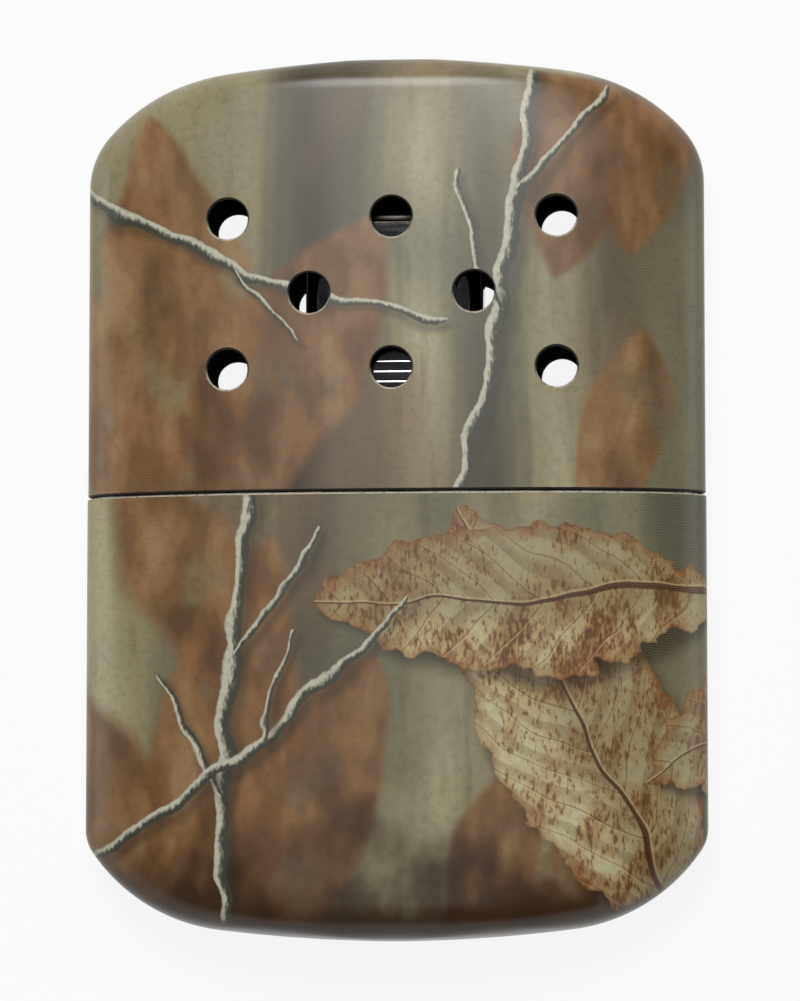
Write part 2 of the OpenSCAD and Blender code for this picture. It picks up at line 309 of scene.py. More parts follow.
def drawn_shell(name, length, shoulder_r, inset, towards, columns, straight, vents=(), vent_r=0.0, cells=6):
    """A drawn cup's skin in quads, open at the seam, with round holes through both faces where vents
    gives them as (steps across, row), each in a square of cells grid steps to every side. Its print map
    is the skin unrolled: from the left side over the front and the back, and along Y from the seam."""
    w, d = half_w - inset, half_d - inset
    loop = whole_loop(columns)
    count, reach = len(loop), len(columns) - 1
    stations = [(w, rise) for rise in straight] + end_stations(length, shoulder_r, inset)
    section_x = [across(w, column) for column in columns]
    section_run = run_along([(x, column[2] * d) for x, column in zip(section_x, columns)])
    side_run = section_run[-1] / map_unit
    rises = [rise for _, rise in stations]
    rise_run = run_along([(rise, depth_at(length, rise, inset)) for rise in rises])
    mesh = bmesh.new()
    print_map = mesh.loops.layers.uv.new("print")
    print_place = {}

    def place(x, rise, z):
        vert = mesh.verts.new((x, seam_y + towards * rise, mid_z + z))
        run = math.copysign(look_up(abs(x), section_x, section_run), x)
        print_place[vert] = (run / map_unit, towards * look_up(rise, rises, rise_run) / map_unit)
        return vert

    # Grid places of the holes: a vent lies on a column of the front and one of the back
    holes = [(base + turn * steps, row, 1 if turn < 0 else -1)
             for steps, row in vents for base, turn in ((reach, -1), (3 * reach, 1))]
    faces_left, verts_left = range(-cells, cells), range(1 - cells, cells)
    cut = {(i + a, j + b) for i, j, _ in holes for a in faces_left for b in faces_left}
    bare = {(i + a, j + b) for i, j, _ in holes for a in verts_left for b in verts_left}
    rows = []
    for j, (here, rise) in enumerate(stations):
        depth = depth_at(length, rise, inset)
        rows.append([None if (i, j) in bare else place(across(here, column), rise, column[2] * depth)
                     for i, column in enumerate(loop)])
    for j in range(len(rows) - 1):
        for i in range(count):
            if (i, j) not in cut:
                k = (i + 1) % count
                mesh.faces.new((rows[j][i], rows[j][k], rows[j + 1][k], rows[j + 1][i]))
    apex = rows[-1]
    for i in range(2 * reach):
        corners = (apex[i], apex[i + 1], apex[(count - i - 1) % count], apex[(count - i) % count])
        mesh.faces.new(list(dict.fromkeys(corners)))

    # Rings from the square left in the grid to the round hole
    for i, j, face_side in holes:
        square = ([(i - cells + t, j - cells) for t in range(2 * cells)]
                  + [(i + cells, j - cells + t) for t in range(2 * cells)]
                  + [(i + cells - t, j + cells) for t in range(2 * cells)]
                  + [(i - cells, j + cells - t) for t in range(2 * cells)])
        square = [rows[q][p] for p, q in square]
        hole_x, hole_rise = across(w, loop[i]), stations[j][1]
        outer = square
        for share in (0.4, 0.7, 1.0):
            ring = []
            for vert in square:
                dx, dy = vert.co.x - hole_x, towards * (vert.co.y - seam_y) - hole_rise
                scale = 1 + share * (vent_r / math.hypot(dx, dy) - 1)
                x = hole_x + dx * scale
                ring.append(place(x, hole_rise + dy * scale, face_side * column_at(x, w)[2] * d))
            for t in range(len(ring)):
                u = (t + 1) % len(ring)
                mesh.faces.new((outer[t], outer[u], ring[u], ring[t]))
            outer = ring
    bmesh.ops.recalc_face_normals(mesh, faces=mesh.faces)
    for face in mesh.faces:
        on_the_back = face.calc_center_median().z < mid_z
        for corner in face.loops:
            run, along = print_place[corner.vert]
            corner[print_map].uv = (2 * side_run - run if on_the_back else run, along)
    return finished_mesh(name, mesh)


def give_sheet(shell, thickness, rim_round, rim_slot=-1):
    """Turns a skin into sheet metal: thickness inward, its own finish inside, and soft rims, which take
    the material of rim_slot where one is given."""
    solid = shell.modifiers.new("sheet", "SOLIDIFY")
    solid.thickness = thickness
    solid.offset = -1
    solid.use_even_offset = True
    solid.material_offset = 1
    solid.material_offset_rim = max(rim_slot, 0)
    rim = shell.modifiers.new("soft_rims", "BEVEL")
    rim.width = rim_round
    rim.segments = 3
    rim.limit_method = "ANGLE"
    rim.angle_limit = math.radians(50)
    rim.material = rim_slot
    rim.harden_normals = True


def fade(tree, value, start, stop, low=0.0, high=1.0):
    """A smooth step from low, where value is at start, to high, where it is at stop."""
    step = {"Value": value, "From Min": start, "From Max": stop, "To Min": low, "To Max": high}
    return add_node(tree, "ShaderNodeMapRange", step, interpolation_type="SMOOTHSTEP").outputs[0]


def lay(tree, share, above, below):
    """One ink laid over another."""
    return add_node(tree, "ShaderNodeMix", {0: share, 6: below, 7: above}, data_type="RGBA").outputs[2]


def tinge(tree, below, colour, value, start, stop, low, high):
    """A colour, 0 to 255, laid over an ink by a share that fades from low to high."""
    return lay(tree, fade(tree, value, start, stop, low, high), srgb(*colour), below)


def grain(tree, place, per_mm, detail=3.0, shift=0.0):
    """Noise, 0 to 1, with its own fineness across, along and through the sheet, in grains per millimetre."""
    place = vector_calc(tree, "MULTIPLY", place, per_mm)
    place = vector_calc(tree, "ADD", place, (shift, shift * 0.7, shift * 1.3))
    return add_node(tree, "ShaderNodeTexNoise", {"Vector": place, "Scale": 1.0, "Detail": detail}).outputs[0]


def spread(tree, value, reach):
    """Noise of 0 to 1 made to go either way from zero, reach wide in all."""
    return calc(tree, "MULTIPLY", calc(tree, "SUBTRACT", value, 0.5), reach)


def ramp(tree, value, stops):
    """Colours that run into each other at the given values."""
    node = add_node(tree, "ShaderNodeValToRGB", {0: value})
    node.color_ramp.interpolation = "EASE"
    elements = node.color_ramp.elements
    elements[0].position, elements[0].color = stops[0]
    elements[1].position, elements[1].color = stops[-1]
    for position, colour in stops[1:-1]:
        elements.new(position).color = colour
    return node.outputs[0]


def leaf_nodes():
    """A node group that draws a leaf, pointed at both ends, or with little fullness a stem. In go the place
    on the print and the motif's foot, turn, length, half width, bend and fullness, in mm; out come how far
    inside its edge the place is, its share along, its distance across, and that as a share of the width."""
    group = bpy.data.node_groups.new("leaf", "ShaderNodeTree")
    for socket in ("Place", "Foot"):
        group.interface.new_socket(socket, in_out="INPUT", socket_type="NodeSocketVector")
    for socket in ("Turn", "Length", "Half", "Bend", "Fullness"):
        group.interface.new_socket(socket, in_out="INPUT", socket_type="NodeSocketFloat")
    for socket in ("Edge", "Along", "Across", "Part"):
        group.interface.new_socket(socket, in_out="OUTPUT", socket_type="NodeSocketFloat")
    given = add_node(group, "NodeGroupInput").outputs
    turn = add_node(group, "ShaderNodeCombineXYZ", {"Z": given["Turn"]}).outputs[0]
    local = add_node(group, "ShaderNodeMapping", {
        "Vector": given["Place"], "Location": given["Foot"], "Rotation": turn}, vector_type="TEXTURE")
    local = add_node(group, "ShaderNodeSeparateXYZ", {0: local.outputs[0]}).outputs
    along = calc(group, "DIVIDE", local[0], given["Length"])
    bend = calc(group, "MULTIPLY", given["Bend"], calc(group, "MULTIPLY", along, along))
    across = calc(group, "SUBTRACT", local[1], bend)
    swell = calc(group, "MULTIPLY", along, calc(group, "SUBTRACT", 1.0, along))
    inside = calc(group, "MAXIMUM", calc(group, "MULTIPLY", swell, 4.0), 0.0)
    width = calc(group, "MULTIPLY", calc(group, "POWER", inside, given["Fullness"]), given["Half"])
    past = calc(group, "MINIMUM", calc(group, "MULTIPLY", swell, given["Length"]), 0.0)
    half = calc(group, "ADD", width, past)
    edge = calc(group, "SUBTRACT", half, calc(group, "ABSOLUTE", across))
    part = calc(group, "DIVIDE", across, calc(group, "MAXIMUM", half, 0.05))
    add_node(group, "NodeGroupOutput", {"Edge": edge, "Along": along, "Across": across, "Part": part})
    return group


leaf_group = leaf_nodes()


def motif(tree, place, foot_x, foot_y, turn, length, half, bend, fullness=0.8):
    """What the leaf group gives for one motif, its turn in degrees."""
    return add_node(tree, "ShaderNodeGroup", {
        "Place": place, "Foot": (foot_x, foot_y, 0), "Turn": math.radians(turn), "Length": length,
        "Half": half, "Bend": bend, "Fullness": fullness}, node_tree=leaf_group).outputs


def place_in_mm(tree):
    """The place in the piece's own space, in millimetres."""
    return vector_calc(tree, "SCALE", add_node(tree, "ShaderNodeTexCoord").outputs["Object"], 1 / MM)


def warped(tree, place, per_mm, reach):
    """The place on the print pushed about by soft noise, so that what is drawn there bends at random."""
    push = add_node(tree, "ShaderNodeTexNoise", {"Vector": place, "Scale": per_mm, "Detail": 1.5})
    push = vector_calc(tree, "SUBTRACT", push.outputs["Color"], (0.5, 0.5, 0.5))
    return vector_calc(tree, "ADD", place, vector_calc(tree, "SCALE", push, reach))


def far_woodland(tree, solid, shift):
    """Soft upright bands, like trunks far off, with warm and cool haze between them."""
    trunks = grain(tree, solid, (0.070, 0.010, 0.070), 1.5, shift)
    ink = ramp(tree, trunks, [
        (0.30, srgb(64, 54, 40)), (0.41, srgb(98, 90, 70)), (0.49, srgb(120, 114, 88)),
        (0.57, srgb(150, 142, 108)), (0.66, srgb(176, 168, 132))])
    haze = grain(tree, solid, (0.045, 0.028, 0.045), 2.0, shift + 5)
    ink = tinge(tree, ink, (86, 90, 78), haze, 0.50, 0.68, 0.0, 0.65)
    ink = tinge(tree, ink, (136, 108, 82), haze, 0.47, 0.32, 0.0, 0.55)
    bark = grain(tree, solid, (0.55, 0.07, 0.55), 3.0, shift + 2)
    return tinge(tree, ink, (84, 76, 58), bark, 0.52, 0.72, 0.0, 0.30)


def blurred_leaf(tree, place, blotch, mottle, ink, foot_x, foot_y, turn, length, half, bend, blur):
    """A leaf out of focus: rust and brown, thin in places, with a soft edge and a trace of its midrib."""
    leaf = motif(tree, place, foot_x, foot_y, turn, length, half, bend)
    rust = ramp(tree, mottle, [
        (0.32, srgb(100, 70, 43)), (0.45, srgb(122, 87, 54)),
        (0.56, srgb(144, 106, 68)), (0.68, srgb(160, 128, 88))])
    rust = tinge(tree, rust, (146, 96, 58), leaf["Edge"], 1.4, 0.2, 0.0, 0.22)
    midrib = fade(tree, calc(tree, "ABSOLUTE", leaf["Across"]), 0.6, 0.0, 0.0, 0.22)
    rust = lay(tree, midrib, srgb(104, 72, 46), rust)
    thick = fade(tree, blotch, 0.70, 0.54, 0.45, 0.93)
    return lay(tree, calc(tree, "MULTIPLY", fade(tree, leaf["Edge"], -blur, blur), thick), rust, ink)


def dry_leaf(tree, place, tan, curl, ink, foot_x, foot_y, turn, length, half, bend):
    """A crisp dry leaf over its own shadow: veins, a curled brown edge, and one side of its fold darker."""
    cast = vector_calc(tree, "ADD", place, (-0.9, 1.2, 0.0))
    shade = motif(tree, cast, foot_x, foot_y, turn, length, half, bend)
    ink = tinge(tree, ink, (40, 31, 22), shade["Edge"], -1.2, 1.4, 0.0, 0.78)
    leaf = motif(tree, place, foot_x, foot_y, turn, length, half, bend)
    inside = calc(tree, "ADD", leaf["Edge"], curl)
    across, along = leaf["Across"], leaf["Along"]
    off = calc(tree, "ABSOLUTE", across)
    pairs = round(length / 5.5)  # pairs of side veins, one every 5.5 mm
    slant = calc(tree, "MULTIPLY", calc(tree, "POWER", off, 1.2), 0.78 / length)
    cell = calc(tree, "FRACT", calc(tree, "MULTIPLY", calc(tree, "SUBTRACT", along, slant), pairs))
    vein = calc(tree, "MULTIPLY", calc(tree, "SUBTRACT", cell, 0.5), length / pairs)
    beside = calc(tree, "ABSOLUTE", vein)
    dry = tinge(tree, tan, (120, 84, 48), vein, 0.1, 1.7, 0.0, 0.34)
    lit_side = calc(tree, "ABSOLUTE", calc(tree, "ADD", vein, 0.24))
    dry = tinge(tree, dry, (214, 196, 150), lit_side, 0.18, 0.05, 0.0, 0.45)
    dry = tinge(tree, dry, (98, 62, 36), beside, 0.17, 0.05, 0.0, 0.52)
    dry = tinge(tree, dry, (92, 60, 34), across, 0.6, 4.5, 0.42, 0.0)
    dry = tinge(tree, dry, (146, 92, 48), inside, 1.8, 0.2, 0.0, 0.50)
    dry = tinge(tree, dry, (96, 58, 30), inside, 0.36, 0.10, 0.0, 0.45)
    rib = fade(tree, along, 0.0, 1.0, 0.32, 0.05)
    edge = calc(tree, "SUBTRACT", off, rib)
    lit = calc(tree, "MULTIPLY", fade(tree, edge, 0.34, 0.10), fade(tree, across, 0.0, -0.1, 0.0, 0.50))
    dry = lay(tree, lit, srgb(214, 194, 146), dry)
    dry = tinge(tree, dry, (74, 42, 28), edge, 0.10, -0.06, 0.0, 0.92)
    return lay(tree, fade(tree, inside, -0.05, 0.12), dry, ink)


def cane(tree, place, rough, frost, ink, foot_x, foot_y, turn, length, half, bend):
    """A rimed cane: pale rime along its lit side, dark bark below, and a soft shadow on what lies behind."""
    cast = vector_calc(tree, "ADD", place, (-0.7, 0.9, 0.0))
    shade = motif(tree, cast, foot_x, foot_y, turn, length, half, bend, 0.18)
    ink = tinge(tree, ink, (52, 48, 38), shade["Edge"], -0.8, 0.5, 0.0, 0.50)
    stem = motif(tree, place, foot_x, foot_y, turn, length, half, bend, 0.18)
    edge = calc(tree, "ADD", stem["Edge"], rough)
    lit = calc(tree, "ADD", stem["Part"], frost)
    bark = lay(tree, fade(tree, lit, -0.30, 0.10), srgb(126, 124, 106), srgb(68, 70, 60))
    bark = lay(tree, fade(tree, lit, -0.05, 0.45), srgb(202, 200, 180), bark)
    return lay(tree, fade(tree, edge, -0.10, 0.14), bark, ink)


def with_twigs(stem, twigs):
    """A cane and its side twigs, each by its share along the cane, the angle it stands off and its length."""
    foot_x, foot_y, turn, length, half, bend = stem
    grown = [stem]
    for share, off, twig_length in twigs:
        x, y = share * length, bend * share ** 2
        heading = math.degrees(math.atan(2 * bend * share / length))
        cos, sin = math.cos(math.radians(turn)), math.sin(math.radians(turn))
        twig_bend = twig_length * math.copysign(0.14, -off)
        grown.append((foot_x + x * cos - y * sin, foot_y + x * sin + y * cos, turn + heading + off,
                      twig_length, half * 0.55, twig_bend))
    return grown


def facing_along(tree):
    """How far the surface faces the cover's end, from -1 to 1."""
    normal = add_node(tree, "ShaderNodeNewGeometry").outputs["Normal"]
    return add_node(tree, "ShaderNodeSeparateXYZ", {0: normal}).outputs[1]


def printed_finish(name, shift, leaves_behind, dry_leaves, canes):
    """The lacquered woodland print, laid from the far trunks forward: blurred leaves, dry leaves and canes.
    Each motif is its foot x and y, turn in degrees, length, half width and bend, and for a blurred one
    its blur, in mm on the print, counted from the middle of the seam."""
    material, tree = new_material(name)
    unrolled = add_node(tree, "ShaderNodeUVMap", uv_map="print").outputs[0]
    place = vector_calc(tree, "SCALE", unrolled, map_unit / MM)
    solid = place_in_mm(tree)
    along = add_node(tree, "ShaderNodeSeparateXYZ", {0: place}).outputs[1]

    far = far_woodland(tree, solid, shift)
    ink = far
    blotch = grain(tree, place, (0.15, 0.11, 1.0), 3.0, shift + 9)
    mottle = grain(tree, place, (0.20, 0.10, 1.0), 2.5, shift + 1)
    flowing = warped(tree, place, 0.06, 6.0)
    for leaf in leaves_behind:
        ink = blurred_leaf(tree, flowing, blotch, mottle, ink, *leaf)

    # Darker brown over the tank's end, with a blotchy upper edge
    end_brown = srgb(54, 34, 21)
    end_edge = calc(tree, "ADD", along, spread(tree, blotch, 26.0))
    end_darkened = fade(tree, end_edge, -34.0, -46.0, 0.0, 0.90)
    ink = lay(tree, end_darkened, end_brown, ink)

    fleck = grain(tree, place, (3.0, 1.1, 1.0), 4.0, shift)
    patch = grain(tree, place, (0.26, 0.17, 1.0), 5.0, shift + 3)
    worn = calc(tree, "SUBTRACT", fleck, calc(tree, "MULTIPLY", patch, 0.75))
    tan = ramp(tree, patch, [
        (0.34, srgb(176, 142, 92)), (0.48, srgb(198, 178, 128)), (0.62, srgb(206, 198, 156))])
    tan = tinge(tree, tan, (132, 88, 50), worn, 0.12, 0.24, 0.0, 0.72)
    tan = tinge(tree, tan, (84, 50, 28), worn, 0.23, 0.34, 0.0, 0.70)
    curl = spread(tree, grain(tree, place, (0.34, 0.34, 1.0), 6.0), 4.6)
    swaying = warped(tree, place, 0.09, 5.0)
    for leaf in dry_leaves:
        ink = dry_leaf(tree, swaying, tan, curl, ink, *leaf)

    crooked = warped(tree, place, 0.13, 4.2)
    frost = spread(tree, fleck, 1.7)
    rough = spread(tree, grain(tree, place, (0.9, 0.9, 1.0), 4.0), 0.5)
    for stem in canes:
        ink = cane(tree, crooked, rough, frost, ink, *stem)

    # The motifs of front and back fade out where the two meet, round the end
    at_end = fade(tree, calc(tree, "ABSOLUTE", facing_along(tree)), 0.60, 0.88)
    ink = lay(tree, at_end, lay(tree, end_darkened, end_brown, far), ink)

    soft = grain(tree, solid, (1.3, 1.3, 1.3), 1.5, shift)
    ink = tinge(tree, ink, (60, 54, 42), soft, 0.56, 0.30, 0.0, 0.14)

    # Fine ripple of the lacquer over the sides, where the sheet curves away: a bump, and paler colour on its
    # crests as a painted highlight
    fine = grain(tree, solid, (5.5, 5.5, 5.5), 2.0)
    at_side = calc(tree, "ABSOLUTE", add_node(tree, "ShaderNodeSeparateXYZ", {0: solid}).outputs[0])
    drift = calc(tree, "MULTIPLY", grain(tree, place, (0.9, 0.25, 1.0), 1.0), 0.9)
    wave = calc(tree, "SINE", calc(tree, "MULTIPLY", calc(tree, "ADD", along, drift), math.tau / 0.26))
    off_the_ends = fade(tree, calc(tree, "ABSOLUTE", along), 34.0, 22.0)
    depth = calc(tree, "MULTIPLY", fade(tree, at_side, 21.0, 27.0), off_the_ends)
    ripple = calc(tree, "MULTIPLY", wave, depth)
    # Painted highlight: pale colour laid on the ripple's crests
    ink = tinge(tree, ink, (196, 184, 140), ripple, 0.2, 1.0, 0.0, 0.14)
    height = calc(tree, "ADD", calc(tree, "MULTIPLY", ripple, 0.5), calc(tree, "MULTIPLY", fine, 0.8))
    bump = add_node(tree, "ShaderNodeBump", {"Height": height, "Distance": 0.010 * MM, "Strength": 0.6})
    lacquer = add_node(tree, "ShaderNodeBsdfPrincipled", {
        "Base Color": ink, "Normal": bump.outputs[0], "Roughness": 0.32, "Specular IOR Level": 0.41,
        "Coat Weight": 0.08, "Coat Roughness": 0.16})
    show_surface(tree, lacquer)
    return material


def rim_finish():
    """The lip of the sheet, with fine nicks: a painted highlight, pale where it faces the cover's end, and
    painted shade, dark where it faces the tank's.
    """
    material, tree = new_material("rolled_rim")
    nicks = grain(tree, place_in_mm(tree), (1.8, 1.8, 1.8), 4.0)
    painted_lit_lip = ramp(tree, nicks, [(0.32, srgb(142, 132, 108)), (0.52, srgb(184, 176, 152))])
    rim = add_node(tree, "ShaderNodeBsdfPrincipled", {
        # Painted highlight and painted shade: the pale nicked colour where the lip faces the cover's end,
        # dark brown where it faces the tank's end
        "Base Color": lay(tree, fade(tree, facing_along(tree), -0.1, 0.35), painted_lit_lip, srgb(38, 34, 28)),
        "Metallic": 0.15, "Roughness": 0.45})
    show_surface(tree, rim)
    return material


def inner_finish():
    """The bare inside of the drawn sheet, a dull dark grey with mottling."""
    material, tree = new_material("dark_bare_sheet")
    place = place_in_mm(tree)
    mottling = grain(tree, place, (0.2, 0.2, 0.2), 4.0)
    draw_line = grain(tree, place, (3.0, 0.10, 3.0), 2.0)
    metal = add_node(tree, "ShaderNodeBsdfPrincipled", {
        "Base Color": ramp(tree, mottling, [(0.35, srgb(52, 50, 48)), (0.65, srgb(98, 94, 88))]),
        "Metallic": 0.8, "Roughness": fade(tree, draw_line, 0.3, 0.7, 0.42, 0.60)})
    show_surface(tree, metal)
    return material


bare_inside = inner_finish()
rolled_rim = rim_finish()
rim_round = 0.22 * MM
case_columns = half_columns(step=0.75 * MM, last=30.75 * MM, edge_count=12)
case_rows = [i * MM for i in range(31)]
case_skin = drawn_shell("case_skin", case_length, case_shoulder_r, 0.0, -1, case_columns, case_rows)
case_skin.data.materials.append(printed_finish(
    "woodland_print_case", 2.0,
    [(-22, -54, 58, 42, 8.5, 3, 0.9), (-22, -54, 84, 50, 8.0, -3, 0.9), (-24, -54, 112, 40, 7.5, 3, 1.3),
     (6, -54, 66, 28, 5.0, 3, 0.6), (8, -54, 40, 24, 4.6, 3, 0.6), (-30, 4, -62, 30, 7.0, 3, 1.6),
     (72, -50, 74, 42, 8, 3, 1.0), (72, -50, 100, 44, 8, -4, 1.0), (100, -10, -110, 34, 8, 3, 1.4)],
    [(33, -50, 114, 54, 10.5, 4), (36, -10, 188, 44, 8.0, -5),
     (84, -48, 118, 48, 9.5, 4), (58, -14, 204, 34, 7.5, 4)],
    with_twigs((-18, -54, 92, 62, 0.80, -6), [(0.34, 38, 15), (0.58, -36, 17)])
    + with_twigs((-36, -40, 24, 46, 0.62, 11), [(0.55, 40, 12)])
    + with_twigs((76, -54, 96, 62, 0.75, -6), [(0.4, -36, 15), (0.62, 38, 14)])))
case_skin.data.materials.append(bare_inside)
case_skin.data.materials.append(rolled_rim)
give_sheet(case_skin, sheet, rim_round, rim_slot=2)
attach(case_skin, "case")
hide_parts("lower_case")

# ---- Cotton filling -----------------------------------------------------------------------------
# One wad of cotton that fills the tank and holds the fuel, pulled from a roll and pushed in by hand.
# Its neck is drawn in where the insert's skirt goes round it.
cover_step = 0.08 * MM  # how far the cover's skin lies inside the case's
collar_fit = 0.15 * MM
collar_sheet = 0.4 * MM
collar_inset = cover_step + sheet + collar_fit
filling_gap = 0.3 * MM
filling_inset = sheet + filling_gap
filling_neck_inset = collar_inset + collar_sheet + filling_gap
skirt_length = 6 * MM
filling_shoulder = 0.8 * MM
filling_below_skirt = 0.5 * MM
filling_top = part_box("batting")[1].y - seam_y


def oval_ring(loop, w, d, rise):
    """A ring of points round the body's oval section, at a rise from the seam."""
    return [(across(w, column), seam_y + rise, mid_z + column[2] * d) for column in loop]


def skin(name, rings, caps=()):
    """A skin in quads through closed rings of as many points; caps names the rings that are filled."""
    mesh = bmesh.new()
    rows = [[mesh.verts.new(point) for point in ring] for ring in rings]
    for lower, upper in zip(rows, rows[1:]):
        for i in range(len(lower)):
            k = (i + 1) % len(lower)
            mesh.faces.new((lower[i], lower[k], upper[k], upper[i]))
    for ring in caps:
        mesh.faces.new(rows[ring])
    return finished_mesh(name, mesh)


def tuft(piece, deepest, per_mm):
    """Dents a soft piece's surface inward by seamless noise, so that it stays in its space."""
    normals = [vert.normal.copy() for vert in piece.data.vertices]
    for vert, normal in zip(piece.data.vertices, normals):
        broad = noise.noise(vert.co * (per_mm / MM))
        fine = noise.noise(vert.co * (3.1 * per_mm / MM))
        depth = 0.5 + 0.5 * broad + 0.25 * fine
        vert.co -= normal * deepest * min(1.0, max(0.0, depth))


def fibre_finish(name, light, dark, per_mm, stretch):
    """Soft fibres: a matted tangle of pale threads with shadow between them."""
    material, tree = new_material(name)
    place = place_in_mm(tree)
    curl = add_node(tree, "ShaderNodeTexNoise", {"Vector": place, "Scale": per_mm * 0.4, "Detail": 2.0})
    curl = vector_calc(tree, "SCALE", curl.outputs["Color"], 2.2)
    place = vector_calc(tree, "ADD", place, curl)
    threads = grain(tree, place, [per_mm * s for s in stretch], 5.0)
    cross = grain(tree, place, [per_mm * s for s in reversed(stretch)], 5.0, 4.0)
    tangle = calc(tree, "MAXIMUM", threads, cross)
    bump = add_node(tree, "ShaderNodeBump", {"Height": tangle, "Distance": 0.25 * MM, "Strength": 0.8})
    fibres = add_node(tree, "ShaderNodeBsdfPrincipled", {
        "Base Color": ramp(tree, tangle, [(0.38, dark), (0.62, light)]), "Normal": bump.outputs[0],
        "Roughness": 0.95, "Sheen Weight": 0.35, "Sheen Roughness": 0.5})
    show_surface(tree, fibres)
    return material


filling_loop = whole_loop(half_columns(step=1.5 * MM, last=30 * MM, edge_count=10))
neck_w, neck_d = half_w - filling_neck_inset, half_d - filling_neck_inset
filling_rings = [oval_ring(filling_loop, neck_w * s, neck_d * s, filling_top)
                 for s in (0.25, 0.5, 0.75, 0.92)]
filling_rings += [oval_ring(filling_loop, neck_w, neck_d, filling_top - filling_shoulder - i * MM)
                  for i in range(10)]
body_start = skirt_length + filling_gap + filling_below_skirt
body_stations = [(half_w - filling_inset, body_start + i * 2 * MM) for i in range(12)]
body_stations += end_stations(case_length, case_shoulder_r, filling_inset)
filling_rings += [oval_ring(filling_loop, w, depth_at(case_length, rise, filling_inset), -rise)
                  for w, rise in body_stations]
cotton_filling = skin("cotton_filling", filling_rings, caps=(0, -1))
tuft(cotton_filling, deepest=0.45 * MM, per_mm=0.35)
cotton_filling.data.materials.append(fibre_finish(
    "cotton_wool", light=srgb(240, 236, 226), dark=srgb(176, 168, 152), per_mm=1.6, stretch=(0.35, 2.2, 1.0)))
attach(cotton_filling, "case")
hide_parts("batting")

# ---- Gauze pad ----------------------------------------------------------------------------------
# A small oblong of folded cotton gauze that lies on the wad under the filler neck and keeps its
# fibres from the burner. It is cut from a strip and laid in loose.


def oblong(w, d, r, rise, corner_cells=8, side_cells=6):
    """A ring of points round an oblong w by d with corner radius r, square to Y, at a rise from the seam."""
    points = []
    corners = ((1, 1, 0), (-1, 1, 90), (-1, -1, 180), (1, -1, 270))
    for x, z, start in corners:
        centre_x, centre_z = x * (w / 2 - r), z * (d / 2 - r)
        for i in range(corner_cells + 1):
            angle = math.radians(start + 90 * i / corner_cells)
            points.append((centre_x + r * math.cos(angle), centre_z + r * math.sin(angle)))
    filled = []
    for i, (x, z) in enumerate(points):
        filled.append((x, z))
        if i % (corner_cells + 1) == corner_cells:
            next_x, next_z = points[(i + 1) % len(points)]
            filled += [(x + (next_x - x) * s / side_cells, z + (next_z - z) * s / side_cells)
                       for s in range(1, side_cells)]
    return [(x, seam_y + rise, mid_z + z) for x, z in filled]


def node_size(node):
    """A solid's width and depth, and its foot and top as rises from the seam."""
    low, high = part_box(node)
    return high.x - low.x, high.z - low.z, low.y - seam_y, high.y - seam_y


gauze_w, gauze_d, gauze_foot, gauze_top = node_size("gauze_pad")
gauze_r = 2.5 * MM
pad_edge = 0.25 * MM
gauze_edge = [(pad_edge, gauze_foot), (0, gauze_foot + pad_edge),
              (0, gauze_top - pad_edge), (pad_edge, gauze_top)]
gauze_rings = [oblong(gauze_w * s, gauze_d * s, gauze_r * s, gauze_foot) for s in (0.2, 0.5, 0.8)]
gauze_rings += [oblong(gauze_w - 2 * inset, gauze_d - 2 * inset, gauze_r - inset, rise)
                for inset, rise in gauze_edge]
gauze_rings += [oblong(gauze_w * s, gauze_d * s, gauze_r * s, gauze_top) for s in (0.8, 0.5, 0.2)]
gauze = skin("gauze", gauze_rings, caps=(0, -1))
gauze_weave, tree = new_material("gauze_weave")
solid = add_node(tree, "ShaderNodeTexCoord").outputs["Object"]
thread = {"Vector": solid, "Scale": 600.0, "Distortion": 0.6}
warp_threads = add_node(tree, "ShaderNodeTexWave", thread, bands_direction="X").outputs["Fac"]
weft_threads = add_node(tree, "ShaderNodeTexWave", thread, bands_direction="Z").outputs["Fac"]
threads = calc(tree, "MAXIMUM", warp_threads, weft_threads)
bump = add_node(tree, "ShaderNodeBump", {"Height": threads, "Distance": 0.12 * MM, "Strength": 0.9})
cloth = add_node(tree, "ShaderNodeBsdfPrincipled", {
    "Base Color": ramp(tree, threads, [(0.2, srgb(150, 144, 130)), (0.8, srgb(238, 234, 222))]),
    "Normal": bump.outputs[0], "Roughness": 0.9, "Sheen Weight": 0.25})
show_surface(tree, cloth)
gauze.data.materials.append(gauze_weave)
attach(gauze, "case")
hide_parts("gauze_pad")

# ---- Tank insert --------------------------------------------------------------------------------
# A plated cup pressed into the case's mouth: its skirt grips the case, its collar carries the
# cover, and its deck, rounded over at the edge, has an oblong opening for the filler neck.
opening_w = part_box("gauze_pad")[1].x * 2  # as wide as the pad: the neck's tabs stand past it
opening_d = node_size("filler_neck")[1]
collar_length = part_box("tank_collar")[1].y - seam_y
collar_round = 1.4 * MM
skirt_shoulder = 0.25 * MM
neck_r = 2.52 * MM


def brushed_metal(name, dark, light, rough, smooth, per_mm, tint=None):
    """Plated metal with fine draw lines and slight clouding and, with a tint, patches tinted by heat."""
    material, tree = new_material(name)
    place = place_in_mm(tree)
    lines = grain(tree, place, per_mm, 3.0)
    cloud = grain(tree, place, (0.22, 0.22, 0.22), 4.0, 2.0)
    colour = ramp(tree, cloud, [(0.36, dark), (0.62, light)])
    if tint:
        heat = grain(tree, place, (0.10, 0.16, 0.10), 2.0, 8.0)
        colour = lay(tree, fade(tree, heat, 0.52, 0.70, 0.0, 0.6), tint, colour)
    bump = add_node(tree, "ShaderNodeBump", {"Height": lines, "Distance": 0.004 * MM, "Strength": 0.5})
    metal = add_node(tree, "ShaderNodeBsdfPrincipled", {
        "Base Color": colour, "Metallic": 1.0, "Normal": bump.outputs[0],
        "Roughness": fade(tree, lines, 0.30, 0.72, smooth, rough)})
    show_surface(tree, metal)
    return material


